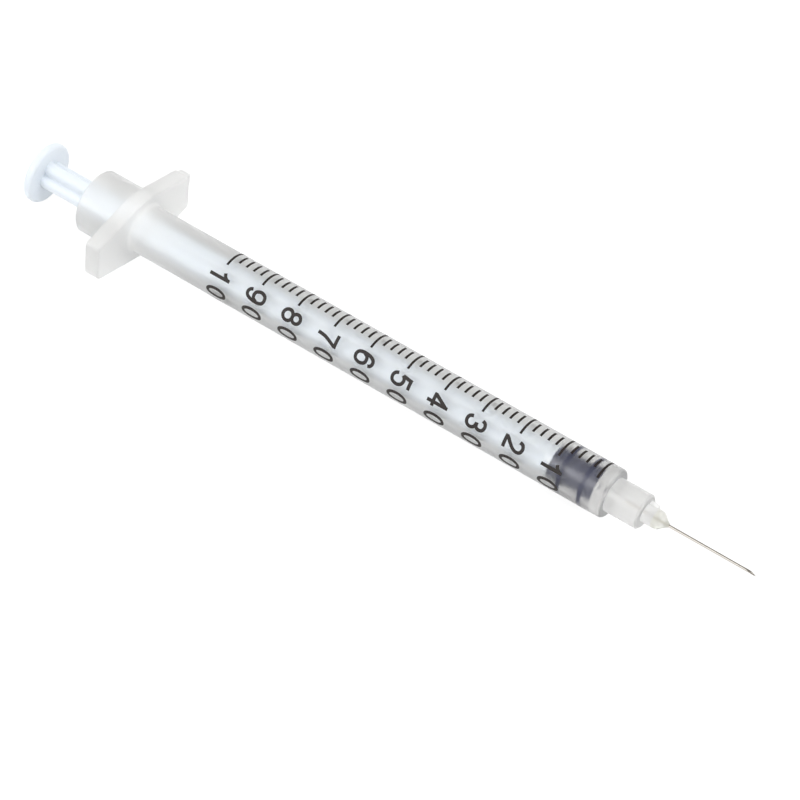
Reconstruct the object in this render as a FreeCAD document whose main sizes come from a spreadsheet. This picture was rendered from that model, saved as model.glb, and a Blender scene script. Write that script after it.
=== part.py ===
# Insulin syringe, 1 ml, with a fixed needle: barrel, plunger rod, rubber stopper, needle and its adhesive.
#
# Frame: the axis of the syringe is X and the needle points to +X. The finger flange spreads along Y, +Z is
# up. The origin is on the axis, in the front face of the barrel, where the cover of the needle seats.
# Lengths are millimetres. The plunger is all the way in.

import FreeCAD, Part
import os

import Sketcher

from FreeCAD import Placement, Rotation, Vector

SIZES = [
    ("bore_diameter", 4.7, "bore of the barrel"),
    ("scale_length", 57.64, "line 0 to line 100: 1 ml of this bore"),
    ("tube_wall", 1.025, "wall of the tube"),
    ("end_wall", 1.75, "solid wall between the bore and the front face"),
    ("front_round", 0.4, "rounding of the front face"),
    ("overrun", 14.46, "tube between the line 100 and the flange"),
    ("hub_diameter", 4.74, "hub that the needle cover grips"),
    ("hub_length", 4.75, "hub, from the front face of the barrel"),
    ("hub_lead", 0.25, "bevel at the hub's rim that leads the cover on"),
    ("nose_diameter", 2.54, "nose that holds the needle"),
    ("nose_length", 1.45, "nose, from the hub's rim"),
    ("lug_reach", 0.48, "height of the lug over the nose"),
    ("lug_width", 0.6, "width of the lug on the nose"),
    ("lug_length", 1.2, "length of the lug, from the hub's rim"),
    ("lug_fall", 0.12, "fall of the lug's top towards the needle"),
    ("lug_angle", 42.0, "where the lug stands round the axis, from +Y, in degrees"),
    ("well_diameter", 1.7, "mouth of the well for the adhesive"),
    ("well_depth", 0.9, "depth of the well"),
    ("channel_diameter", 0.9, "fluid channel where it leaves the bore"),
    ("flange_thickness", 2.2, "finger flange"),
    ("flange_length", 19.0, "finger flange, tip to tip"),
    ("flange_height", 9.02, "finger flange across its middle, just over the collar"),
    ("flange_land", 2.46, "flat at the middle of each long side, on which the syringe lies"),
    ("flange_taper", 12.4, "fall of each long side from the land to the tips, in degrees"),
    ("flange_shoulder", 2.0, "rounding between the land and the falling side"),
    ("flange_corner", 0.8, "rounding of the corners at the tips"),
    ("flange_front_edge", 0.3, "rounding of the edges that face the needle"),
    ("flange_root", 0.45, "fillet where the tube meets the flange"),
    ("stub_reach", 0.35, "moulding stub that stands proud of one tip"),
    ("stub_width", 1.85, "width of the moulding stub"),
    ("stub_rise", 1.675, "middle of the moulding stub above the axis"),
    ("stub_inset", 0.3, "faces of the stub behind the faces of the flange"),
    ("collar_diameter", 8.98, "collar behind the flange"),
    ("collar_wall", 0.7, "wall of the collar"),
    ("collar_length", 5.95, "collar, from the back of the flange"),
    ("collar_lead", 0.25, "bevel at the collar's rim that leads a cap on"),
    ("pocket_sink", 0.7, "how far the collar's pocket reaches into the flange"),
    ("entry_diameter", 5.8, "wide end of the cone that leads the stopper in"),
    ("entry_length", 0.9, "length of that cone"),
    ("relief_diameter", 5.0, "bore between the cone and the bead"),
    ("bead_height", 0.15, "bead that keeps the plunger in"),
    ("bead_crest", 0.3, "flat top of the bead"),
    ("bead_ramp", 0.25, "length of each slope of the bead"),
    ("bead_offset", 1.6, "middle of the bead, in front of the flange"),
    ("needle_diameter", 0.36, "outside of the needle, 28 gauge"),
    ("needle_bore", 0.18, "inside of the needle"),
    ("needle_exposed", 12.7, "needle in front of the adhesive, half an inch"),
    ("needle_embedded", 6.0, "needle behind the tip of the adhesive"),
    ("bevel_angle", 12.0, "main bevel of the point, in degrees"),
    ("lancet_angle", 19.0, "side bevels of the point, in degrees"),
    ("lancet_turn", 38.0, "turn of the side bevels round the axis, in degrees"),
    ("point_land", 0.02, "metal left under the main bevel at the point"),
    ("seat_gap", 0.02, "gap round the needle in the barrel"),
    ("bond_gap", 0.01, "gap that stands for the bonded faces of the adhesive"),
    ("dome_length", 1.95, "adhesive in front of the nose"),
    ("dome_brow", 0.75, "where the dome's side turns in, from the nose"),
    ("dome_brow_inset", 0.09, "how far it has come in there"),
    ("dome_foot", 0.38, "where the dome turns along the needle, from its tip"),
    ("dome_foot_rise", 0.28, "its height over the needle there"),
    ("dome_round", 0.65, "rounding of the dome's side"),
    ("dome_foot_round", 0.5, "hollow where the dome turns along the needle"),
    ("dome_tip_wall", 0.07, "adhesive on the needle at the dome's tip"),
    ("stopper_gap", 0.1, "stopper to end wall when the plunger is all the way in"),
    ("stopper_length", 6.6, "rubber stopper"),
    ("seal_clearance", 0.03, "sealing rings to bore, on the radius"),
    ("ring_width", 0.6, "sealing ring"),
    ("ring_slope", 0.2, "slope at each side of a ring"),
    ("front_ring", 1.2, "front ring, from the face of the stopper"),
    ("rear_ring", 1.6, "rear ring, from the back of the stopper"),
    ("groove_depth", 0.28, "groove between the rings"),
    ("skirt_inset", 0.2, "stopper behind the rear ring, below the rings"),
    ("face_inset", 0.26, "edge of the stopper's face, below the rings"),
    ("brow_inset", 0.1, "where the stopper's side turns in to its face, below the rings"),
    ("brow_length", 0.15, "how far behind the face that is"),
    ("rod_diameter", 4.16, "plunger rod over its four ribs"),
    ("rib_thickness", 1.7, "rib of the plunger rod"),
    ("rib_root", 0.2, "fillet between two ribs"),
    ("rib_edge", 0.65, "rounding of a rib's outer edges"),
    ("rod_turn", 9.8, "turn of the plunger at rest, in degrees"),
    ("front_disc_diameter", 4.2, "disc of the rod that pushes the stopper"),
    ("front_disc_thickness", 0.9, "that disc"),
    ("disc_gap", 0.02, "disc to the back of the stopper"),
    ("neck_diameter", 1.7, "neck between disc and head"),
    ("neck_length", 1.3, "neck, from the disc"),
    ("head_diameter", 2.7, "barbed head that holds the stopper"),
    ("head_length", 2.3, "head, from its step to its tip"),
    ("head_tip", 1.3, "flat tip of the head"),
    ("head_gap", 0.06, "gap round neck and head in the stopper"),
    ("thumb_diameter", 8.5, "thumb disc"),
    ("thumb_thickness", 1.2, "thumb disc"),
    ("thumb_round", 0.45, "rounding of the thumb disc's rim"),
    ("thumb_standoff", 7.85, "collar to thumb disc when the plunger is all the way in"),
]

# Stations along the axis end in _x and radii in _r. They follow from the sizes.
PLACES = [
    ("bore_r", "sizes.bore_diameter / 2"),
    ("tube_r", "bore_r + sizes.tube_wall"),
    ("end_wall_x", "-sizes.end_wall"),
    ("zero_x", "end_wall_x - sizes.stopper_gap"),
    ("full_x", "zero_x - sizes.scale_length"),
    ("flange_front_x", "full_x - sizes.overrun"),
    ("flange_back_x", "flange_front_x - sizes.flange_thickness"),
    ("collar_back_x", "flange_back_x - sizes.collar_length"),
    ("collar_lead_x", "collar_back_x + sizes.collar_lead"),
    ("collar_r", "sizes.collar_diameter / 2"),
    ("collar_lead_r", "collar_r - sizes.collar_lead"),
    ("pocket_r", "collar_r - sizes.collar_wall"),
    ("pocket_x", "flange_back_x + sizes.pocket_sink"),
    ("entry_r", "sizes.entry_diameter / 2"),
    ("entry_x", "pocket_x + sizes.entry_length"),
    ("relief_r", "sizes.relief_diameter / 2"),
    ("bead_r", "bore_r - sizes.bead_height"),
    ("bead_back_x", "flange_front_x + sizes.bead_offset - sizes.bead_crest / 2"),
    ("bead_back_foot_x", "bead_back_x - sizes.bead_ramp"),
    ("bead_front_x", "bead_back_x + sizes.bead_crest"),
    ("bead_front_foot_x", "bead_front_x + sizes.bead_ramp"),
    ("hub_r", "sizes.hub_diameter / 2"),
    ("hub_x", "sizes.hub_length"),
    ("hub_lead_r", "hub_r - sizes.hub_lead"),
    ("hub_lead_x", "hub_x - sizes.hub_lead"),
    ("nose_r", "sizes.nose_diameter / 2"),
    ("nose_x", "hub_x + sizes.nose_length"),
    ("well_r", "sizes.well_diameter / 2"),
    ("well_x", "nose_x - sizes.well_depth"),
    ("channel_r", "sizes.channel_diameter / 2"),
    ("needle_r", "sizes.needle_diameter / 2"),
    ("seat_r", "needle_r + sizes.seat_gap"),
    ("dome_tip_x", "nose_x + sizes.dome_length"),
    ("needle_back_x", "dome_tip_x - sizes.needle_embedded"),
    ("needle_tip_x", "dome_tip_x + sizes.needle_exposed"),
    ("bond_r", "needle_r + sizes.bond_gap"),
    ("glue_well_r", "well_r - sizes.bond_gap"),
    ("glue_foot_r", "seat_r + sizes.bond_gap"),
    ("glue_foot_x", "well_x + sizes.bond_gap * 2"),
    ("glue_face_x", "nose_x + sizes.bond_gap"),
    ("brow_x", "nose_x + sizes.dome_brow"),
    ("brow_r", "nose_r - sizes.dome_brow_inset"),
    ("foot_x", "dome_tip_x - sizes.dome_foot"),
    ("foot_r", "needle_r + sizes.dome_foot_rise"),
    ("dome_tip_r", "bond_r + sizes.dome_tip_wall"),
    ("seal_r", "bore_r - sizes.seal_clearance"),
    ("groove_r", "seal_r - sizes.groove_depth"),
    ("skirt_r", "seal_r - sizes.skirt_inset"),
    ("face_r", "seal_r - sizes.face_inset"),
    ("face_brow_r", "seal_r - sizes.brow_inset"),
    ("face_brow_x", "zero_x - sizes.brow_length"),
    ("front_ring_x", "zero_x - sizes.front_ring"),
    ("front_ring_back_x", "front_ring_x - sizes.ring_width"),
    ("front_slope_x", "front_ring_back_x - sizes.ring_slope"),
    ("stopper_back_x", "zero_x - sizes.stopper_length"),
    ("rear_ring_back_x", "stopper_back_x + sizes.rear_ring"),
    ("rear_ring_x", "rear_ring_back_x + sizes.ring_width"),
    ("rear_slope_x", "rear_ring_x + sizes.ring_slope"),
    ("skirt_x", "rear_ring_back_x - sizes.ring_slope"),
    ("neck_r", "sizes.neck_diameter / 2"),
    ("head_r", "sizes.head_diameter / 2"),
    ("head_tip_r", "sizes.head_tip / 2"),
    ("disc_front_x", "stopper_back_x - sizes.disc_gap"),
    ("disc_back_x", "disc_front_x - sizes.front_disc_thickness"),
    ("disc_r", "sizes.front_disc_diameter / 2"),
    ("head_step_x", "disc_front_x + sizes.neck_length"),
    ("head_tip_x", "head_step_x + sizes.head_length"),
    ("cavity_neck_r", "neck_r + sizes.head_gap"),
    ("cavity_head_r", "head_r + sizes.head_gap"),
    ("cavity_tip_r", "head_tip_r + sizes.head_gap"),
    ("cavity_step_x", "head_step_x - sizes.head_gap"),
    ("cavity_tip_x", "head_tip_x + sizes.head_gap"),
    ("rod_r", "sizes.rod_diameter / 2"),
    ("thumb_r", "sizes.thumb_diameter / 2"),
    ("thumb_front_x", "collar_back_x - sizes.thumb_standoff"),
    ("thumb_back_x", "thumb_front_x - sizes.thumb_thickness"),
    ("rib_half", "sizes.rib_thickness / 2"),
    ("rib_reach", "rod_r"),
    ("rib_length", "disc_back_x - thumb_front_x"),
    ("flange_top", "sizes.flange_height / 2"),
    ("land_half", "sizes.flange_land / 2"),
    ("flange_tip", "sizes.flange_length / 2"),
    ("flange_tip_height", "flange_top - (flange_tip - land_half) * tan(sizes.flange_taper * 1 deg)"),
    ("stub_x", "flange_back_x + sizes.stub_inset"),
    ("stub_depth", "sizes.flange_thickness - 2 * sizes.stub_inset"),
    ("stub_end_y", "flange_tip + sizes.stub_reach"),
    ("stub_root_y", "flange_tip - sizes.stub_reach"),
    ("stub_low_z", "sizes.stub_rise - sizes.stub_width / 2"),
    ("stub_high_z", "sizes.stub_rise + sizes.stub_width / 2"),
    ("lug_x", "hub_x + sizes.lug_length"),
    ("lug_root_r", "nose_r - sizes.lug_reach"),
    ("lug_high_r", "nose_r + sizes.lug_reach"),
    ("lug_low_r", "lug_high_r - sizes.lug_fall"),
    ("needle_length", "needle_tip_x - needle_back_x"),
    ("bevel_low_r", "needle_r - sizes.point_land"),
    ("bevel_high_r", "needle_r + sizes.point_land"),
    ("bevel_back_x", "needle_tip_x - (bevel_low_r + bevel_high_r) / tan(sizes.bevel_angle * 1 deg)"),
    ("lancet_back_x", "needle_tip_x - (bevel_low_r + bevel_high_r) / tan(sizes.lancet_angle * 1 deg)"),
]

doc = FreeCAD.newDocument("insulin_syringe")


def fill_sheet(name, rows):
    """A sheet with one named value in each row: its name, the value and what it is."""
    sheet = doc.addObject("Spreadsheet::Sheet", name)
    for row, (alias, content, note) in enumerate(rows, start=1):
        sheet.set(f"A{row}", alias)
        sheet.set(f"B{row}", content)
        sheet.setAlias(f"B{row}", alias)
        sheet.set(f"C{row}", note)
    doc.recompute()
    return sheet


sizes = fill_sheet("sizes", [(name, str(value), note) for name, value, note in SIZES])
places = fill_sheet("places", [(name, "=" + formula, formula) for name, formula in PLACES])


def size(name):
    """Value of one driving size."""
    return float(sizes.get(name))


def place(name):
    """Value of one station or radius."""
    return float(places.get(name))


def new_body(label):
    """Empty body whose label is the name of its piece."""
    body = doc.addObject("PartDesign::Body", label)
    body.Label = label
    return body


def plane_of(body, role):
    """One of the body's own origin planes."""
    for feature in body.Origin.OriginFeatures:
        if feature.Role == role:
            return feature
    raise RuntimeError(f"{body.Label} has no plane {role}")


def sketch_on(body, name, role, height=None, turn=None, side=1):
    """Sketch on an origin plane, lifted to a station, or turned about X to one side by a named angle."""
    sketch = body.newObject("Sketcher::SketchObject", name)
    sketch.AttachmentSupport = [(plane_of(body, role), "")]
    sketch.MapMode = "FlatFace"
    if height is not None:
        sketch.AttachmentOffset = Placement(Vector(0, 0, place(height)), Rotation())
        sketch.setExpression("AttachmentOffset.Base.z", f"places.{height}")
    if turn is not None:
        sketch.AttachmentOffset = Placement(Vector(), Rotation(Vector(side, 0, 0), size(turn)))
        sketch.setExpression("AttachmentOffset.Rotation.Angle", f"sizes.{turn} * 1 deg")
    return sketch


def signed(name):
    """Value and formula of a station or radius whose name may carry a minus."""
    if name.startswith("-"):
        return -place(name[1:]), f"-places.{name[1:]}"
    return place(name), f"places.{name}"


def pin(sketch, line, names):
    """Ties the start of a line to its two named values. The word zero puts it on that axis."""
    for name, kind, own_axis in ((names[0], "DistanceX", -2), (names[1], "DistanceY", -1)):
        if name == "zero":
            sketch.addConstraint(Sketcher.Constraint("PointOnObject", line, 1, own_axis))
        else:
            value, formula = signed(name)
            number = sketch.addConstraint(Sketcher.Constraint(kind, line, 1, value))
            sketch.setExpression(f"Constraints[{number}]", formula)


def closed_outline(sketch, corners):
    """Closed run of straight lines through corners, each given by the names of its two coordinates."""
    points = []
    for first, second in corners:
        x = 0.0 if first == "zero" else signed(first)[0]
        y = 0.0 if second == "zero" else signed(second)[0]
        points.append(Vector(x, y, 0))
    start = sketch.GeometryCount
    count = len(points)
    for index in range(count):
        sketch.addGeometry(Part.LineSegment(points[index], points[(index + 1) % count]), False)
    for index in range(count):
        following = start + (index + 1) % count
        sketch.addConstraint(Sketcher.Constraint("Coincident", start + index, 2, following, 1))
        pin(sketch, start + index, corners[index])
    doc.recompute()


def circle_about_axis(sketch, formula, radius):
    """Circle round the sketch's origin."""
    circle = sketch.addGeometry(Part.Circle(Vector(), Vector(0, 0, 1), radius), False)
    sketch.addConstraint(Sketcher.Constraint("Coincident", circle, 3, -1, 1))
    number = sketch.addConstraint(Sketcher.Constraint("Radius", circle, radius))
    sketch.setExpression(f"Constraints[{number}]", formula)


def turned(body, name, corners, kind="Revolution"):
    """Form turned about X, added or (as a Groove) cut: corners are pairs of a station and a radius."""
    volume = body.Tip.Shape.Volume if body.Tip else 0.0
    sketch = sketch_on(body, name + "_profile", "XY_Plane")
    closed_outline(sketch, corners)
    solid = body.newObject(f"PartDesign::{kind}", name)
    solid.Profile = sketch
    solid.ReferenceAxis = (sketch, ["H_Axis"])
    solid.Angle = 360.0
    doc.recompute()
    if kind == "Groove":
        stop_unless_cut(solid, volume)
    return solid


def stop_unless_cut(cut, volume):
    """Stops if a cut has taken nothing away."""
    if not cut.Shape.Volume < volume:
        raise RuntimeError(f"{cut.Label} cuts nothing")


def padded(body, name, sketch, formula, length):
    """Pad of a sketch along +X."""
    solid = body.newObject("PartDesign::Pad", name)
    solid.Profile = sketch
    solid.Length = length
    solid.setExpression("Length", formula)
    doc.recompute()
    return solid


def rounded(body, name, edges, size_name):
    """Fillet on edges of the body's last feature, with a radius from the sheet."""
    if not edges:
        raise RuntimeError(f"{name} finds no edge")
    base = body.Tip
    fillet = body.newObject("PartDesign::Fillet", name)
    fillet.Base = (base, edges)
    fillet.Radius = size(size_name)
    fillet.setExpression("Radius", f"sizes.{size_name}")
    doc.recompute()
    return fillet


def near(first, second, slack=0.001):
    """True where two lengths agree."""
    return abs(first - second) < slack


def ring_edges(body, x, radius):
    """Edges that lie on one circle round the axis."""
    found = []
    for number, edge in enumerate(body.Tip.Shape.Edges, start=1):
        if not isinstance(edge.Curve, Part.Circle):
            continue
        center = edge.Curve.Center
        on_axis = near(center.y, 0) and near(center.z, 0)
        if on_axis and near(center.x, x) and near(edge.Curve.Radius, radius):
            found.append(f"Edge{number}")
    return found


def edges_where(body, test):
    """Edges whose ends and middle all pass a test."""
    found = []
    for number, edge in enumerate(body.Tip.Shape.Edges, start=1):
        middle = edge.valueAt((edge.FirstParameter + edge.LastParameter) / 2)
        points = [vertex.Point for vertex in edge.Vertexes] + [middle]
        if all(test(point) for point in points):
            found.append(f"Edge{number}")
    return found


def make_barrel():
    """One moulding: flange, tube, collar, hub and nose, and then the bore through all of it."""
    body = new_body("barrel")
    add_flange(body)
    add_stub(body)
    turned(body, "barrel_outside", [
        ("collar_back_x", "zero"),
        ("collar_back_x", "collar_lead_r"),
        ("collar_lead_x", "collar_r"),
        ("flange_front_x", "collar_r"),
        ("flange_front_x", "tube_r"),
        ("zero", "tube_r"),
        ("zero", "hub_r"),
        ("hub_lead_x", "hub_r"),
        ("hub_x", "hub_lead_r"),
        ("hub_x", "nose_r"),
        ("nose_x", "nose_r"),
        ("nose_x", "zero"),
    ])
    rounded(body, "front_rounding", ring_edges(body, 0, place("tube_r")), "front_round")
    rounded(body, "flange_fillet", ring_edges(body, place("flange_front_x"), place("tube_r")), "flange_root")
    add_lug(body)
    turned(body, "bore", [
        ("collar_back_x", "zero"),
        ("collar_back_x", "pocket_r"),
        ("pocket_x", "pocket_r"),
        ("pocket_x", "entry_r"),
        ("entry_x", "relief_r"),
        ("bead_back_foot_x", "relief_r"),
        ("bead_back_x", "bead_r"),
        ("bead_front_x", "bead_r"),
        ("bead_front_foot_x", "bore_r"),
        ("end_wall_x", "bore_r"),
        ("end_wall_x", "channel_r"),
        ("needle_back_x", "seat_r"),
        ("well_x", "seat_r"),
        ("nose_x", "well_r"),
        ("nose_x", "zero"),
    ], kind="Groove")
    return body


def add_flange(body):
    """Finger flange: a plate whose long sides fall from a flat land in the middle to the tips."""
    plate = sketch_on(body, "flange_outline", "YZ_Plane", height="flange_back_x")
    closed_outline(plate, [
        ("land_half", "flange_top"),
        ("flange_tip", "flange_tip_height"),
        ("flange_tip", "-flange_tip_height"),
        ("land_half", "-flange_top"),
        ("-land_half", "-flange_top"),
        ("-flange_tip", "-flange_tip_height"),
        ("-flange_tip", "flange_tip_height"),
        ("-land_half", "flange_top"),
    ])
    padded(body, "flange", plate, "sizes.flange_thickness", size("flange_thickness"))

    tip = place("flange_tip")
    height = place("flange_tip_height")
    land = place("land_half")
    top = place("flange_top")
    corners = edges_where(body, lambda p: near(abs(p.y), tip) and near(abs(p.z), height))
    rounded(body, "flange_corners", corners, "flange_corner")
    shoulders = edges_where(body, lambda p: near(abs(p.y), land) and near(abs(p.z), top))
    rounded(body, "flange_shoulders", shoulders, "flange_shoulder")
    front = place("flange_front_x")
    rounded(body, "flange_rim", edges_where(body, lambda p: near(p.x, front)), "flange_front_edge")


def add_stub(body):
    """Short stub that the moulding leaves proud of one tip of the flange."""
    sketch = sketch_on(body, "stub_outline", "YZ_Plane", height="stub_x")
    closed_outline(sketch, [
        ("stub_root_y", "stub_low_z"),
        ("stub_end_y", "stub_low_z"),
        ("stub_end_y", "stub_high_z"),
        ("stub_root_y", "stub_high_z"),
    ])
    padded(body, "stub", sketch, "places.stub_depth", place("stub_depth"))


def add_lug(body):
    """Lug on the nose, lower towards the needle."""
    sketch = sketch_on(body, "lug_outline", "XY_Plane", turn="lug_angle")
    closed_outline(sketch, [
        ("hub_x", "lug_root_r"),
        ("lug_x", "lug_root_r"),
        ("lug_x", "lug_low_r"),
        ("hub_x", "lug_high_r"),
    ])
    lug = body.newObject("PartDesign::Pad", "lug")
    lug.Profile = sketch
    lug.Midplane = True
    lug.Length = size("lug_width")
    lug.setExpression("Length", "sizes.lug_width")
    doc.recompute()


def make_plunger_rod():
    """Ribbed rod with its thumb disc, the disc that pushes the stopper, and the barbed head."""
    body = new_body("plunger_rod")
    cross = sketch_on(body, "rib_outline", "YZ_Plane", height="thumb_front_x")
    closed_outline(cross, [
        ("rib_reach", "-rib_half"),
        ("rib_reach", "rib_half"),
        ("rib_half", "rib_half"),
        ("rib_half", "rib_reach"),
        ("-rib_half", "rib_reach"),
        ("-rib_half", "rib_half"),
        ("-rib_reach", "rib_half"),
        ("-rib_reach", "-rib_half"),
        ("-rib_half", "-rib_half"),
        ("-rib_half", "-rib_reach"),
        ("rib_half", "-rib_reach"),
        ("rib_half", "-rib_half"),
    ])
    padded(body, "ribs", cross, "places.rib_length", place("rib_length"))
    half = place("rib_half")
    reach = place("rib_reach")
    roots = edges_where(body, lambda p: near(abs(p.y), half) and near(abs(p.z), half))
    rounded(body, "rib_roots", roots, "rib_root")
    tips = ((half, reach), (reach, half))
    edges = edges_where(body, lambda p: any(near(abs(p.y), y) and near(abs(p.z), z) for y, z in tips))
    rounded(body, "rib_edges", edges, "rib_edge")
    turned(body, "front_disc_and_head", [
        ("disc_back_x", "zero"),
        ("disc_back_x", "disc_r"),
        ("disc_front_x", "disc_r"),
        ("disc_front_x", "neck_r"),
        ("head_step_x", "neck_r"),
        ("head_step_x", "head_r"),
        ("head_tip_x", "head_tip_r"),
        ("head_tip_x", "zero"),
    ])
    turned(body, "thumb_disc", [
        ("thumb_back_x", "zero"),
        ("thumb_back_x", "thumb_r"),
        ("thumb_front_x", "thumb_r"),
        ("thumb_front_x", "zero"),
    ])
    rims = ring_edges(body, place("thumb_back_x"), place("thumb_r"))
    rims += ring_edges(body, place("thumb_front_x"), place("thumb_r"))
    rounded(body, "thumb_rounding", rims, "thumb_round")
    body.Placement = Placement(Vector(), Rotation(Vector(1, 0, 0), size("rod_turn")))
    body.setExpression("Placement.Rotation.Angle", "sizes.rod_turn * 1 deg")
    doc.recompute()
    return body


def make_stopper():
    """Rubber stopper with two sealing rings, and a cavity for the head of the rod."""
    body = new_body("stopper")
    turned(body, "stopper_wall", [
        ("stopper_back_x", "cavity_neck_r"),
        ("cavity_step_x", "cavity_neck_r"),
        ("cavity_step_x", "cavity_head_r"),
        ("cavity_tip_x", "cavity_tip_r"),
        ("cavity_tip_x", "zero"),
        ("zero_x", "zero"),
        ("zero_x", "face_r"),
        ("face_brow_x", "face_brow_r"),
        ("front_ring_x", "seal_r"),
        ("front_ring_back_x", "seal_r"),
        ("front_slope_x", "groove_r"),
        ("rear_slope_x", "groove_r"),
        ("rear_ring_x", "seal_r"),
        ("rear_ring_back_x", "seal_r"),
        ("skirt_x", "skirt_r"),
        ("stopper_back_x", "skirt_r"),
    ])
    return body


def make_needle():
    """Steel tube with a point of three bevels."""
    body = new_body("needle")
    ring = sketch_on(body, "needle_section", "YZ_Plane", height="needle_back_x")
    circle_about_axis(ring, "places.needle_r", place("needle_r"))
    circle_about_axis(ring, "sizes.needle_bore / 2", size("needle_bore") / 2)
    padded(body, "needle_tube", ring, "places.needle_length", place("needle_length"))
    cut_bevel(body, sketch_on(body, "main_bevel", "XZ_Plane"), "bevel_back_x")
    for side, name in ((1, "left_bevel"), (-1, "right_bevel")):
        sketch = sketch_on(body, name, "XZ_Plane", turn="lancet_turn", side=side)
        cut_bevel(body, sketch, "lancet_back_x")
    return body


def cut_bevel(body, sketch, back):
    """Cuts the point along a plane that rises from its lowest edge to the back station."""
    closed_outline(sketch, [
        ("needle_tip_x", "-bevel_low_r"),
        ("needle_tip_x", "bevel_high_r"),
        (back, "bevel_high_r"),
    ])
    volume = body.Tip.Shape.Volume
    cut = body.newObject("PartDesign::Pocket", sketch.Name + "_cut")
    cut.Profile = sketch
    cut.Type = "ThroughAll"
    cut.Midplane = True
    doc.recompute()
    stop_unless_cut(cut, volume)


def make_adhesive():
    """Adhesive that fills the well round the needle and stands on the nose as a dome."""
    body = new_body("needle_adhesive")
    turned(body, "adhesive_drop", [
        ("glue_foot_x", "bond_r"),
        ("glue_foot_x", "glue_foot_r"),
        ("glue_face_x", "glue_well_r"),
        ("glue_face_x", "nose_r"),
        ("brow_x", "brow_r"),
        ("foot_x", "foot_r"),
        ("dome_tip_x", "dome_tip_r"),
        ("dome_tip_x", "bond_r"),
    ])
    rounded(body, "dome_rounding", ring_edges(body, place("brow_x"), place("brow_r")), "dome_round")
    rounded(body, "dome_foot_rounding", ring_edges(body, place("foot_x"), place("foot_r")), "dome_foot_round")
    return body


def check_and_write(bodies):
    """Stops if anything failed, and otherwise writes each piece to its own file."""
    doc.recompute()
    for item in doc.Objects:
        if "Invalid" in item.State or "Error" in item.State:
            raise RuntimeError(f"{item.Label} failed: {item.State}")
    os.makedirs("parts", exist_ok=True)
    for body in bodies:
        shape = body.Shape
        if shape.isNull() or not shape.isValid() or shape.Volume <= 0:
            raise RuntimeError(f"{body.Label} has no valid solid")
        if len(shape.Solids) != 1:
            raise RuntimeError(f"{body.Label} has {len(shape.Solids)} solids")
        shape.exportStep(f"parts/{body.Label}.step")
        box = shape.optimalBoundingBox(False, False)
        print(f"{body.Label}: {shape.Volume:.3f} mm3, x {box.XMin:.3f} to {box.XMax:.3f},"
              f" y {box.YMin:.3f} to {box.YMax:.3f}, z {box.ZMin:.3f} to {box.ZMax:.3f}")


check_and_write([make_barrel(), make_plunger_rod(), make_stopper(), make_needle(), make_adhesive()])
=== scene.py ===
import math
import bpy
from mathutils import Matrix, Vector


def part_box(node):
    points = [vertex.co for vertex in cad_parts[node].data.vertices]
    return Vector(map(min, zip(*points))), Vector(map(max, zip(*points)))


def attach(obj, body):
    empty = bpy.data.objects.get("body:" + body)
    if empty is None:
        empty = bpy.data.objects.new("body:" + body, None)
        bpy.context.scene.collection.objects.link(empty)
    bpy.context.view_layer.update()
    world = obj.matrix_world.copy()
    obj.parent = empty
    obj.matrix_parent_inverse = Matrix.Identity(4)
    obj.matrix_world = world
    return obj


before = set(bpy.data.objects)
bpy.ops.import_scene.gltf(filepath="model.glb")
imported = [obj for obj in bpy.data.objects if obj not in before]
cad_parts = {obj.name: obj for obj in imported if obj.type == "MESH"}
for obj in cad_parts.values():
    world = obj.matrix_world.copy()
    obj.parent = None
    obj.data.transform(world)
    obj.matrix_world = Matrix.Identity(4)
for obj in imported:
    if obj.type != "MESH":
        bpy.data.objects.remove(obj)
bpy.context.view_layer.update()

MM = 0.001
TUBE_RADIUS = 3.375 * MM
BORE_RADIUS = 2.35 * MM
FLANGE_FRONT_X = -73.95 * MM
SYRINGE_MIDDLE = (-0.035, 0, 0)
GRAIN_DEPTH = 0.02 * MM


def colour_from_hex(written):
    """An sRGB hex colour as the linear colour that a material takes."""
    parts = [int(written[i:i + 2], 16) / 255 for i in (1, 3, 5)]
    return [c / 12.92 if c <= 0.04045 else ((c + 0.055) / 1.055) ** 2.4 for c in parts] + [1.0]


def node(tree, kind, inputs=(), **settings):
    """Adds a node with its settings; an input takes a value or another node's output."""
    made = tree.nodes.new(kind)
    for name, value in settings.items():
        setattr(made, name, value)
    for key, value in dict(inputs).items():
        if isinstance(value, bpy.types.NodeSocket):
            tree.links.new(value, made.inputs[key])
        else:
            made.inputs[key].default_value = value
    return made


def new_material(name):
    """An empty material and its node tree."""
    material = bpy.data.materials.new(name)
    material.use_nodes = True
    material.node_tree.nodes.clear()
    return material, material.node_tree


def surface_grain(tree, size, strength, stretch=(1, 1, 1)):
    """A surface's fine unevenness, in lumps about size wide (metres). It gives the pattern, which
    also mottles the colour, and the bump."""
    where = node(tree, "ShaderNodeTexCoord")
    laid = node(tree, "ShaderNodeMapping", {"Vector": where.outputs["Object"], "Scale": stretch})
    noise = node(tree, "ShaderNodeTexNoise",
                 {"Vector": laid.outputs["Vector"], "Scale": 1 / size, "Detail": 3.0})
    bump = node(tree, "ShaderNodeBump",
                {"Height": noise.outputs["Fac"], "Strength": strength, "Distance": GRAIN_DEPTH})
    return noise, bump


def along(tree):
    """The distance along the barrel from its front face, in millimetres."""
    where = node(tree, "ShaderNodeTexCoord")
    split = node(tree, "ShaderNodeSeparateXYZ", {0: where.outputs["Object"]})
    in_mm = node(tree, "ShaderNodeMath", {0: split.outputs["X"], 1: 1 / MM}, operation="MULTIPLY")
    return in_mm.outputs[0]


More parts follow.
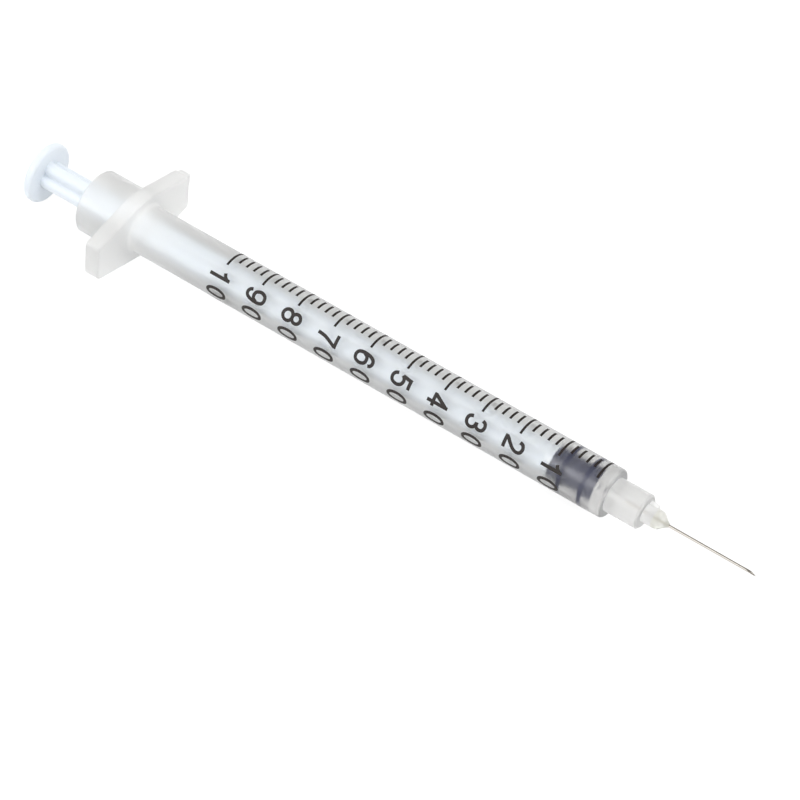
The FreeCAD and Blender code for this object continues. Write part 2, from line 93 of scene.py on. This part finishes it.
def band(tree, value, steps):
    """A number that changes along the barrel. Steps holds (distance in mm, number) pairs, from the
    rear to the front."""
    low, high = steps[0][0], steps[-1][0]
    share = node(tree, "ShaderNodeMapRange", {"Value": value, "From Min": low, "From Max": high})
    ramp = node(tree, "ShaderNodeValToRGB", {"Fac": share.outputs[0]})
    while len(ramp.color_ramp.elements) < len(steps):
        ramp.color_ramp.elements.new(0.5)
    for place, (distance, number) in zip(ramp.color_ramp.elements, steps):
        place.position = (distance - low) / (high - low)
        place.color = (number, number, number, 1)
    return ramp.outputs["Color"]


def let_lamps_through(tree, surface, share, tint):
    """Thin clear plastic passes the light of lamp and room straight on to the piece inside, where
    a traced shell would block it."""
    path = node(tree, "ShaderNodeLightPath")
    lit = node(tree, "ShaderNodeMath",
               {0: path.outputs["Is Shadow Ray"], 1: path.outputs["Is Diffuse Ray"]},
               operation="MAXIMUM")
    amount = node(tree, "ShaderNodeMath", {0: lit.outputs[0], 1: share}, operation="MULTIPLY")
    straight = node(tree, "ShaderNodeBsdfTransparent", {"Color": tint})
    return node(tree, "ShaderNodeMixShader",
                {0: amount.outputs[0], 1: surface, 2: straight.outputs[0]})


def clear_polypropylene():
    """Clear polypropylene, injection moulded. The tube comes from a polished mould, so it is clear
    with a slight milk in it. The flange is spark textured, so it is frosted and pale grey, and the
    collar, hub and nose lie between the two. Looked at along the wall, the plastic is a warm
    grey."""
    material, tree = new_material("clear_moulded_polypropylene")
    x = along(tree)
    milk = band(tree, x, [(-84, 0.10), (-76.5, 0.12), (-75.8, 0.46), (-74.1, 0.46), (-73.2, 0.24),
                          (-70.5, 0.13), (-65, 0.015), (-1.6, 0.015), (0.2, 0.16), (4.6, 0.16),
                          (6, 0.35)])
    clear = node(tree, "ShaderNodeMath", {0: 1.0, 1: milk}, operation="SUBTRACT")
    frost = band(tree, x, [(-84, 0.30), (-76.5, 0.30), (-75.6, 0.44), (-74.2, 0.44), (-73, 0.38),
                           (-70, 0.31), (-64, 0.285), (-1.4, 0.285), (0.0, 0.30), (6, 0.36)])
    spark = band(tree, x, [(-84, 0.0), (-76.3, 0.0), (-76.2, 0.35), (-73.9, 0.35), (-73.8, 0.0),
                           (7, 0.0)])
    noise, bump = surface_grain(tree, 0.25 * MM, spark)
    colour = node(tree, "ShaderNodeMix",
                  {"Factor": noise.outputs["Fac"], "A": colour_from_hex("#F2F2F1"),
                   "B": colour_from_hex("#F8F8F7")}, data_type="RGBA")
    wall = node(tree, "ShaderNodeBsdfPrincipled",
                {"Base Color": colour.outputs["Result"], "Roughness": frost, "IOR": 1.49,
                 "Transmission Weight": clear.outputs[0], "Normal": bump.outputs["Normal"]})
    seen = let_lamps_through(tree, wall.outputs[0], 1.0, (1, 1, 1, 1))
    depth = node(tree, "ShaderNodeVolumeAbsorption",
                 {"Color": (0.30, 0.295, 0.27, 1), "Density": 32.0})
    node(tree, "ShaderNodeOutputMaterial",
         {"Surface": seen.outputs[0], "Volume": depth.outputs[0]})
    return material


def white_polypropylene():
    """Natural white polypropylene, injection moulded: a cool bluish white with soft gloss, and
    light that sinks in a little at thin edges."""
    material, tree = new_material("white_moulded_polypropylene")
    noise, bump = surface_grain(tree, 0.5 * MM, 0.2)
    colour = node(tree, "ShaderNodeMix",
                  {"Factor": noise.outputs["Fac"], "A": colour_from_hex("#E2E9F0"),
                   "B": colour_from_hex("#E9EFF5")}, data_type="RGBA")
    body = node(tree, "ShaderNodeBsdfPrincipled",
                {"Base Color": colour.outputs["Result"], "Roughness": 0.34, "IOR": 1.49,
                 "Subsurface Weight": 0.35, "Subsurface Radius": (1.0, 1.0, 1.1),
                 "Subsurface Scale": 0.6 * MM, "Normal": bump.outputs["Normal"]})
    node(tree, "ShaderNodeOutputMaterial", {"Surface": body.outputs[0]})
    return material


def butyl_rubber():
    """Grey-blue bromobutyl rubber, press moulded and siliconed: slate blue, with an oily sheen."""
    material, tree = new_material("siliconed_butyl_rubber")
    noise, bump = surface_grain(tree, 0.3 * MM, 0.25)
    colour = node(tree, "ShaderNodeMix",
                  {"Factor": noise.outputs["Fac"], "A": colour_from_hex("#171E42"),
                   "B": colour_from_hex("#222A50")}, data_type="RGBA")
    body = node(tree, "ShaderNodeBsdfPrincipled",
                {"Base Color": colour.outputs["Result"], "Roughness": 0.58, "IOR": 1.5,
                 "Coat Weight": 0.3, "Coat Roughness": 0.4, "Normal": bump.outputs["Normal"]})
    node(tree, "ShaderNodeOutputMaterial", {"Surface": body.outputs[0]})
    return material


def needle_steel():
    """Drawn and electropolished stainless steel: fine lines along the needle, bright and hard."""
    material, tree = new_material("drawn_stainless_steel")
    noise, bump = surface_grain(tree, 0.05 * MM, 0.15, stretch=(0.02, 1, 1))
    rough = node(tree, "ShaderNodeMapRange",
                 {"Value": noise.outputs["Fac"], "To Min": 0.16, "To Max": 0.30})
    body = node(tree, "ShaderNodeBsdfPrincipled",
                {"Base Color": colour_from_hex("#CBC6BF"), "Metallic": 1.0,
                 "Roughness": rough.outputs[0], "Normal": bump.outputs["Normal"]})
    node(tree, "ShaderNodeOutputMaterial", {"Surface": body.outputs[0]})
    return material


def needle_bond():
    """Light-cured acrylic adhesive, a set droplet: smooth, mostly see-through, a greyish cream."""
    material, tree = new_material("light_cured_adhesive")
    noise, bump = surface_grain(tree, 0.9 * MM, 0.03)
    colour = node(tree, "ShaderNodeMix",
                  {"Factor": noise.outputs["Fac"], "A": colour_from_hex("#F0F0EB"),
                   "B": colour_from_hex("#F6F6F2")}, data_type="RGBA")
    body = node(tree, "ShaderNodeBsdfPrincipled",
                {"Base Color": colour.outputs["Result"], "Roughness": 0.32, "IOR": 1.3,
                 "Transmission Weight": 0.80, "Normal": bump.outputs["Normal"]})
    seen = let_lamps_through(tree, body.outputs[0], 0.8, colour_from_hex("#F4F4EC"))
    node(tree, "ShaderNodeOutputMaterial", {"Surface": seen.outputs[0]})
    return material


def scale_ink():
    """Black-brown ink, pad printed on the plastic: nearly black, matt, a little uneven."""
    material, tree = new_material("printed_scale_ink")
    noise, bump = surface_grain(tree, 0.12 * MM, 0.2)
    colour = node(tree, "ShaderNodeMix",
                  {"Factor": noise.outputs["Fac"], "A": colour_from_hex("#140B06"),
                   "B": colour_from_hex("#20150E")}, data_type="RGBA")
    body = node(tree, "ShaderNodeBsdfPrincipled",
                {"Base Color": colour.outputs["Result"], "Roughness": 0.55, "IOR": 1.5,
                 "Normal": bump.outputs["Normal"]})
    node(tree, "ShaderNodeOutputMaterial", {"Surface": body.outputs[0]})
    return material


def finish_piece(piece, material):
    """Gives a piece its one material."""
    piece.data.materials.clear()
    piece.data.materials.append(material)


# The printed scale. Angles are in degrees round the tube, from +Y towards +Z. Each line is turned
# a little against the last, because the print leans.
PRINT_RADIUS = TUBE_RADIUS + 0.014 * MM
LINES = 51
UNITS_PER_LINE = 2
LONG_EVERY = 5
LINE_ZERO_X = -1.85 * MM
LINE_PITCH = 57.64 * MM / (LINES - 1)
LINE_WIDTH = 0.33 * MM
SHORT_LINE = (66.4, 99.1)
LONG_LINE = (48.4, 117.3)
LEAN_PER_LINE = -0.134
POINTS_PER_LINE = 16


def curved_line(tree, given, start, end):
    """One printed line: a flat strip bent round the tube between two angles."""
    spread = node(tree, "ShaderNodeMath", {0: end, 1: start}, operation="SUBTRACT")
    middle = node(tree, "ShaderNodeMath", {0: end, 1: start}, operation="ADD")
    half = node(tree, "ShaderNodeMath", {0: middle.outputs[0], 1: 0.5}, operation="MULTIPLY")
    strip = node(tree, "GeometryNodeMeshGrid",
                 {"Size X": given.outputs["Line width"], "Size Y": spread.outputs[0],
                  "Vertices X": 2, "Vertices Y": POINTS_PER_LINE})
    flat = node(tree, "GeometryNodeInputPosition")
    at = node(tree, "ShaderNodeSeparateXYZ", {0: flat.outputs[0]})
    angle = node(tree, "ShaderNodeMath", {0: at.outputs["Y"], 1: half.outputs[0]}, operation="ADD")
    across = node(tree, "ShaderNodeMath", {0: angle.outputs[0]}, operation="COSINE")
    upward = node(tree, "ShaderNodeMath", {0: angle.outputs[0]}, operation="SINE")
    round_y = node(tree, "ShaderNodeMath",
                   {0: across.outputs[0], 1: given.outputs["Print radius"]}, operation="MULTIPLY")
    round_z = node(tree, "ShaderNodeMath",
                   {0: upward.outputs[0], 1: given.outputs["Print radius"]}, operation="MULTIPLY")
    bent = node(tree, "ShaderNodeCombineXYZ",
                {"X": at.outputs["X"], "Y": round_y.outputs[0], "Z": round_z.outputs[0]})
    laid = node(tree, "GeometryNodeSetPosition",
                {"Geometry": strip.outputs["Mesh"], "Position": bent.outputs[0]})
    return node(tree, "GeometryNodeFlipFaces", {"Mesh": laid.outputs[0]}).outputs[0]


def scale_lines_tree():
    """Every printed line of the scale: one for each two units, every fifth one long."""
    tree = bpy.data.node_groups.new("scale_lines", "GeometryNodeTree")
    for name, kind in (("Lines", "NodeSocketInt"), ("First line", "NodeSocketFloat"),
                       ("Pitch", "NodeSocketFloat"), ("Print radius", "NodeSocketFloat"),
                       ("Line width", "NodeSocketFloat"), ("Short start", "NodeSocketFloat"),
                       ("Short end", "NodeSocketFloat"), ("Long start", "NodeSocketFloat"),
                       ("Long end", "NodeSocketFloat"), ("Lean", "NodeSocketFloat"),
                       ("Long every", "NodeSocketInt"), ("Ink", "NodeSocketMaterial")):
        tree.interface.new_socket(name, in_out="INPUT", socket_type=kind)
    tree.interface.new_socket("Geometry", in_out="OUTPUT", socket_type="NodeSocketGeometry")
    given = node(tree, "NodeGroupInput")
    first = node(tree, "ShaderNodeCombineXYZ", {"X": given.outputs["First line"]})
    back = node(tree, "ShaderNodeMath", {0: given.outputs["Pitch"], 1: -1.0}, operation="MULTIPLY")
    step = node(tree, "ShaderNodeCombineXYZ", {"X": back.outputs[0]})
    row = node(tree, "GeometryNodeMeshLine",
               {"Count": given.outputs["Lines"], "Start Location": first.outputs[0],
                "Offset": step.outputs[0]}, mode="OFFSET", count_mode="TOTAL")
    number = node(tree, "GeometryNodeInputIndex")
    turn = node(tree, "ShaderNodeMath",
                {0: number.outputs[0], 1: given.outputs["Lean"]}, operation="MULTIPLY")
    lean = node(tree, "ShaderNodeCombineXYZ", {"X": turn.outputs[0]})
    left_over = node(tree, "ShaderNodeMath",
                     {0: number.outputs[0], 1: given.outputs["Long every"]}, operation="MODULO")
    is_long = node(tree, "ShaderNodeMath", {0: left_over.outputs[0], 1: 0.5}, operation="LESS_THAN")
    is_short = node(tree, "ShaderNodeMath", {0: 1.0, 1: is_long.outputs[0]}, operation="SUBTRACT")
    both = node(tree, "GeometryNodeJoinGeometry")
    for chosen, start, end in ((is_short, "Short start", "Short end"),
                               (is_long, "Long start", "Long end")):
        line = curved_line(tree, given, given.outputs[start], given.outputs[end])
        set_out = node(tree, "GeometryNodeInstanceOnPoints",
                       {"Points": row.outputs["Mesh"], "Selection": chosen.outputs[0],
                        "Instance": line, "Rotation": lean.outputs[0]})
        tree.links.new(set_out.outputs[0], both.inputs[0])
    real = node(tree, "GeometryNodeRealizeInstances", {0: both.outputs[0]})
    inked = node(tree, "GeometryNodeSetMaterial",
                 {"Geometry": real.outputs[0], "Material": given.outputs["Ink"]})
    node(tree, "NodeGroupOutput", {"Geometry": inked.outputs[0]})
    return tree


def print_scale_lines(ink):
    """The lines as one plain mesh."""
    tree = scale_lines_tree()
    sizes = {"Lines": LINES, "First line": LINE_ZERO_X, "Pitch": LINE_PITCH,
             "Print radius": PRINT_RADIUS, "Line width": LINE_WIDTH,
             "Short start": math.radians(SHORT_LINE[0]), "Short end": math.radians(SHORT_LINE[1]),
             "Long start": math.radians(LONG_LINE[0]), "Long end": math.radians(LONG_LINE[1]),
             "Lean": math.radians(LEAN_PER_LINE), "Long every": LONG_EVERY, "Ink": ink}
    maker = bpy.data.objects.new("scale_lines_maker", bpy.data.meshes.new("scale_lines_maker"))
    bpy.context.scene.collection.objects.link(maker)
    grown = maker.modifiers.new("scale_lines", "NODES")
    grown.node_group = tree
    for item in tree.interface.items_tree:
        if item.in_out == "INPUT":
            grown[item.identifier] = sizes[item.name]
    printed = maker.evaluated_get(bpy.context.evaluated_depsgraph_get())
    mesh = bpy.data.meshes.new_from_object(printed)
    bpy.data.objects.remove(maker)
    mesh.name = "scale_lines"
    return bpy.data.objects.new("scale_lines", mesh)


def closed_oval(middle, half, points, squareness=0.0):
    """A numeral's closed stroke. A squareness above 0 gives it straighter sides."""
    path = []
    for i in range(points + 1):
        turn = i * math.tau / points
        side = math.sin(turn)
        side = side * abs(side) ** -squareness if abs(side) > 1e-6 else 0.0
        path.append((middle[0] + half[0] * side, middle[1] + half[1] * math.cos(turn)))
    return path


# The numerals: middle lines of the strokes, in shares of the numeral's width and height.
SIX = [[(0.94, 0.79), (0.82, 0.93), (0.55, 1.0), (0.26, 0.94), (0.07, 0.74), (0.0, 0.45),
        (0.03, 0.22), (0.18, 0.06), (0.5, 0.0), (0.84, 0.07), (1.0, 0.31), (0.84, 0.56),
        (0.52, 0.62), (0.22, 0.57), (0.04, 0.40)]]
STROKES = {
    "0": [closed_oval((0.5, 0.5), (0.5, 0.5), 40, squareness=0.12)],
    "1": [[(0.62, -0.085), (0.62, 1.085)], [(0.60, 0.95), (0.42, 0.80), (0.10, 0.70)]],
    "2": [[(0.03, 0.74), (0.14, 0.92), (0.48, 1.0), (0.84, 0.92), (0.95, 0.74), (0.84, 0.54),
           (0.50, 0.31), (0.16, 0.12), (0.04, 0.02)], [(-0.10, 0.0), (1.08, 0.0)]],
    "3": [[(0.03, 0.78), (0.16, 0.94), (0.47, 1.0), (0.80, 0.93), (0.91, 0.76), (0.78, 0.58),
           (0.38, 0.535)],
          [(0.42, 0.535), (0.82, 0.47), (1.0, 0.27), (0.85, 0.07), (0.5, 0.0), (0.16, 0.06),
           (0.0, 0.25)]],
    "4": [[(0.72, 1.0), (0.02, 0.27)], [(-0.12, 0.25), (1.12, 0.25)],
          [(0.72, 1.085), (0.72, -0.085)]],
    "5": [[(1.02, 1.0), (0.22, 1.0)], [(0.215, 1.085), (0.08, 0.52)],
          [(0.06, 0.50), (0.26, 0.61), (0.55, 0.64), (0.87, 0.54), (1.0, 0.32), (0.86, 0.08),
           (0.5, 0.0), (0.17, 0.06), (0.0, 0.24)]],
    "6": SIX,
    "7": [[(-0.12, 1.0), (1.10, 1.0)], [(0.98, 0.98), (0.66, 0.62), (0.46, 0.30), (0.38, -0.085)]],
    "8": [closed_oval((0.5, 0.765), (0.42, 0.235), 28), closed_oval((0.5, 0.27), (0.5, 0.27), 32)],
    "9": [[(1 - u, 1 - v) for u, v in stroke] for stroke in SIX],
}
STROKE_WIDTH = 0.47 * MM
NUMERAL_HEIGHT = 3.12 * MM
NUMERAL_WIDTH = 1.95 * MM
ZERO_WIDTH = 1.80 * MM
NUMERAL_STEP = 2.69 * MM
NUMERAL_START = 129.3
POINTS_PER_STRAIGHT = 10
POINTS_PER_CURVE = 5


def smooth_path(points):
    """A dense line through the points, rounded between them where there are more than two."""
    if len(points) == 2:
        (u0, v0), (u1, v1) = points
        shares = [i / POINTS_PER_STRAIGHT for i in range(POINTS_PER_STRAIGHT + 1)]
        return [(u0 + (u1 - u0) * t, v0 + (v1 - v0) * t) for t in shares]
    closed = math.dist(points[0], points[-1]) < 1e-6
    before = points[-2] if closed else points[0]
    after = points[1] if closed else points[-1]
    held = [before] + list(points) + [after]
    path = []
    for a, b, c, d in zip(held, held[1:], held[2:], held[3:]):
        for i in range(POINTS_PER_CURVE):
            t = i / POINTS_PER_CURVE
            path.append(tuple(
                0.5 * (2 * b[k] + (c[k] - a[k]) * t
                       + (2 * a[k] - 5 * b[k] + 4 * c[k] - d[k]) * t * t
                       + (3 * b[k] - a[k] - 3 * c[k] + d[k]) * t ** 3)
                for k in (0, 1)))
    return path + [tuple(points[-1])]


def add_stroke(verts, faces, points, place):
    """One stroke of a numeral as a flat ribbon, laid on the tube by place(u, v)."""
    path = [p for i, p in enumerate(points) if i == 0 or math.dist(p, points[i - 1]) > 1e-9]
    closed = math.dist(path[0], path[-1]) < 1e-7
    base = len(verts)
    for i, (u, v) in enumerate(path):
        back = path[i - 1] if i else (path[-2] if closed else path[0])
        ahead = path[i + 1] if i + 1 < len(path) else (path[1] if closed else path[-1])
        du, dv = ahead[0] - back[0], ahead[1] - back[1]
        size = math.hypot(du, dv)
        nu, nv = -dv / size, du / size
        for side in (-1, 0, 1):
            verts.append(place(u + nu * side * STROKE_WIDTH / 2, v + nv * side * STROKE_WIDTH / 2))
    for i in range(len(path) - 1):
        for k in (0, 1):
            a = base + 3 * i + k
            faces.append((a, a + 3, a + 4, a + 1))


def place_on_tube(line):
    """Gives the function that lays a point on the tube beside a line of the scale: u is metres
    round the tube, v metres along it."""
    middle_x = LINE_ZERO_X - line * LINE_PITCH
    start = math.radians(NUMERAL_START + LEAN_PER_LINE * line)

    def place(u, v):
        angle = start + u / TUBE_RADIUS
        return (middle_x + v, PRINT_RADIUS * math.cos(angle), PRINT_RADIUS * math.sin(angle))

    return place


def print_numerals(ink):
    """The numbers 10 to 100, read with the needle upward, bent round the tube."""
    verts, faces = [], []
    for number in range(10, 101, 10):
        place = place_on_tube(number // UNITS_PER_LINE)
        for place_in, digit in enumerate(str(number)):
            width = (ZERO_WIDTH if digit == "0" else NUMERAL_WIDTH) - STROKE_WIDTH
            height = NUMERAL_HEIGHT - STROKE_WIDTH
            left = place_in * NUMERAL_STEP + STROKE_WIDTH / 2
            for stroke in STROKES[digit]:
                points = [(left + u * width, (v - 0.5) * height) for u, v in smooth_path(stroke)]
                add_stroke(verts, faces, points, place)
    mesh = bpy.data.meshes.new("scale_numerals")
    mesh.from_pydata(verts, [], faces)
    mesh.materials.append(ink)
    return bpy.data.objects.new("scale_numerals", mesh)


SEALING_RINGS = ((-6.85 * MM, -6.25 * MM), (-3.65 * MM, -3.05 * MM))
FILM_OUTER = BORE_RADIUS + 0.012 * MM
FILM_INNER = BORE_RADIUS - 0.05 * MM
FILM_TURNS = 84


def wet_ring_bands(rubber):
    """The two sealing rings where they press on the bore: the film of silicone fluid closes the
    air gap, so each ring reads dark through the wall right out to its edge."""
    verts, faces = [], []
    for rear, front in SEALING_RINGS:
        base = len(verts)
        for i in range(FILM_TURNS):
            angle = math.tau * i / FILM_TURNS
            for x, r in ((rear, FILM_OUTER), (front, FILM_OUTER),
                         (front, FILM_INNER), (rear, FILM_INNER)):
                verts.append((x, r * math.cos(angle), r * math.sin(angle)))
        for i in range(FILM_TURNS):
            a, b = base + 4 * i, base + 4 * ((i + 1) % FILM_TURNS)
            for k in range(4):
                faces.append((a + k, b + k, b + (k + 1) % 4, a + (k + 1) % 4))
    mesh = bpy.data.meshes.new("stopper_wet_rings")
    mesh.from_pydata(verts, [], faces)
    mesh.materials.append(rubber)
    return bpy.data.objects.new("stopper_wet_rings", mesh)


def set_camera():
    """The photograph's view, from in front and above. Its direction, place and lens were fitted to
    the edges of the tube, flange and needle."""
    lens = bpy.data.cameras.new("photograph_view")
    lens.lens = 156.87
    lens.sensor_width = 36.0
    lens.clip_start, lens.clip_end = 0.01, 20.0
    camera = bpy.data.objects.new("photograph_view", lens)
    right = Vector((0.808894, 0.582372, 0.080809)).normalized()
    back = Vector((0.363593, -0.603431, 0.709698)).normalized()
    up = back.cross(right).normalized()
    turn = Matrix((right, up, back)).transposed()
    camera.matrix_world = Matrix.Translation((0.129585, -0.268372, 0.311077)) @ turn.to_4x4()
    bpy.context.scene.collection.objects.link(camera)
    bpy.context.scene.camera = camera


def background_rays(tree, through=1.0):
    """1 for the rays that show the background: straight or mirrored, and through the clear plastic
    as much as asked. A ray through the plastic also counts as a mirrored one, so its share is
    taken away again."""
    path = node(tree, "ShaderNodeLightPath")
    first = node(tree, "ShaderNodeMath",
                 {0: path.outputs["Is Camera Ray"], 1: path.outputs["Is Glossy Ray"]},
                 operation="MAXIMUM")
    held_back = node(tree, "ShaderNodeMath",
                     {0: path.outputs["Is Transmission Ray"], 1: 1.0 - through},
                     operation="MULTIPLY")
    return node(tree, "ShaderNodeMath", {0: first.outputs[0], 1: held_back.outputs[0]},
                operation="SUBTRACT", use_clamp=True).outputs[0]


WHITE = (1, 1, 1, 1)
ROOM_FILL = 0.80
CEILING_SHARE = 0.42
TOWARDS_CEILING = (0.0, 0.45, 0.893)
CEILING_EDGE = (0.40, 0.80)
# Each softbox: its name, its place and width in metres, and its power in watts. In its centre it
# is SOFTBOX_CENTRE times as bright as an even one.
SOFTBOXES = (("key_softbox", (-0.29, -0.45, 0.38), 0.6, 1.3),
             ("top_softbox", (0.16, 0.12, 0.56), 0.5, 1.55))
SOFTBOX_CENTRE = 2.6


def fade_to_the_edge(lamp, place, size):
    """A softbox is brightest in its middle, so its mirror image on the plastic has a soft edge."""
    lamp.use_nodes = True
    tree = lamp.node_tree
    tree.nodes.clear()
    spot = node(tree, "ShaderNodeNewGeometry")
    reach = node(tree, "ShaderNodeVectorMath", {0: spot.outputs["Position"], 1: place},
                 operation="DISTANCE")
    share = node(tree, "ShaderNodeMapRange",
                 {"Value": reach.outputs["Value"], "From Min": 0.0, "From Max": size / 2,
                  "To Min": SOFTBOX_CENTRE, "To Max": 0.0}, interpolation_type="SMOOTHSTEP")
    glow = node(tree, "ShaderNodeEmission", {"Strength": share.outputs["Result"]})
    node(tree, "ShaderNodeOutputLight", {"Surface": glow.outputs[0]})


def light_the_studio():
    """A white room with a greyer ceiling, and two soft lamps. The ceiling is what the top of the
    plastic mirrors."""
    world = bpy.data.worlds.new("white_studio")
    bpy.context.scene.world = world
    world.use_nodes = True
    tree = world.node_tree
    tree.nodes.clear()
    fill = node(tree, "ShaderNodeBackground", {"Color": WHITE, "Strength": ROOM_FILL})
    shown = node(tree, "ShaderNodeBackground", {"Color": WHITE, "Strength": 1.0})
    ceiling = node(tree, "ShaderNodeBackground",
                   {"Color": colour_from_hex("#BDB8B0"), "Strength": CEILING_SHARE})
    where = node(tree, "ShaderNodeTexCoord")
    height = node(tree, "ShaderNodeVectorMath",
                  {0: where.outputs["Generated"], 1: TOWARDS_CEILING}, operation="DOT_PRODUCT")
    overhead = node(tree, "ShaderNodeMapRange",
                    {"Value": height.outputs["Value"], "From Min": CEILING_EDGE[0],
                     "From Max": CEILING_EDGE[1]})
    path = node(tree, "ShaderNodeLightPath")
    indirect = node(tree, "ShaderNodeMath", {0: 1.0, 1: path.outputs["Is Camera Ray"]},
                    operation="SUBTRACT")
    dimmed = node(tree, "ShaderNodeMath", {0: overhead.outputs[0], 1: indirect.outputs[0]},
                  operation="MULTIPLY")
    room = node(tree, "ShaderNodeMixShader",
                {0: dimmed.outputs[0], 1: shown.outputs[0], 2: ceiling.outputs[0]})
    mixed = node(tree, "ShaderNodeMixShader",
                 {0: background_rays(tree), 1: fill.outputs[0], 2: room.outputs[0]})
    node(tree, "ShaderNodeOutputWorld", {"Surface": mixed.outputs[0]})
    for name, place, size, power in SOFTBOXES:
        lamp = bpy.data.lights.new(name, "AREA")
        lamp.shape = "DISK"
        lamp.size = size
        lamp.energy = power
        fade_to_the_edge(lamp, place, size)
        held = bpy.data.objects.new(name, lamp)
        aim = Vector(SYRINGE_MIDDLE) - Vector(place)
        held.location = place
        held.rotation_mode = "QUATERNION"
        held.rotation_quaternion = aim.to_track_quat("-Z", "Y")
        bpy.context.scene.collection.objects.link(held)


FLOOR_REACH = 1.5
FLOOR_DROP = 0.02 * MM
RIM_X = -0.3 * MM
# The paper as it is lit, the part of it that can take a shadow where it is the background, and
# the even white that makes up the rest there.
PAPER = (0.80, 0.80, 0.80, 1)
SHADOW_SHARE = (0.24, 0.24, 0.24, 1)
EVEN_WHITE = 0.84


def lay_floor():
    """A plain pale floor through the two places that the syringe rests on: the flange's flat edge
    and the front rim of the tube."""
    flange_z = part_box("barrel")[0].z
    slope = (-TUBE_RADIUS - flange_z) / (RIM_X - FLANGE_FRONT_X)
    corners = [(x, y, flange_z + (x - FLANGE_FRONT_X) * slope - FLOOR_DROP)
               for x, y in ((-FLOOR_REACH, -FLOOR_REACH), (FLOOR_REACH, -FLOOR_REACH),
                            (FLOOR_REACH, FLOOR_REACH), (-FLOOR_REACH, FLOOR_REACH))]
    mesh = bpy.data.meshes.new("floor")
    mesh.from_pydata(corners, [], [(0, 1, 2, 3)])
    floor = bpy.data.objects.new("floor", mesh)
    bpy.context.scene.collection.objects.link(floor)
    material, tree = new_material("white_paper_sweep")
    paper = node(tree, "ShaderNodeBsdfDiffuse", {"Color": PAPER})
    shadow = node(tree, "ShaderNodeBsdfDiffuse", {"Color": SHADOW_SHARE})
    glow = node(tree, "ShaderNodeEmission", {"Color": WHITE, "Strength": EVEN_WHITE})
    shown = node(tree, "ShaderNodeAddShader", {0: shadow.outputs[0], 1: glow.outputs[0]})
    mixed = node(tree, "ShaderNodeMixShader",
                 {0: background_rays(tree, through=0.0), 1: paper.outputs[0], 2: shown.outputs[0]})
    node(tree, "ShaderNodeOutputMaterial", {"Surface": mixed.outputs[0]})
    mesh.materials.append(material)


set_camera()
light_the_studio()
lay_floor()

finish_piece(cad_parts["barrel"], clear_polypropylene())
finish_piece(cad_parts["plunger_rod"], white_polypropylene())
rubber = butyl_rubber()
finish_piece(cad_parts["stopper"], rubber)
finish_piece(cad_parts["needle"], needle_steel())
finish_piece(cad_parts["needle_adhesive"], needle_bond())

wetted = wet_ring_bands(rubber)
bpy.context.scene.collection.objects.link(wetted)
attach(wetted, "stopper")

ink = scale_ink()
for printed in (print_scale_lines(ink), print_numerals(ink)):
    bpy.context.scene.collection.objects.link(printed)
    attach(printed, "barrel")

bpy.context.scene.view_settings.view_transform = "Standard"
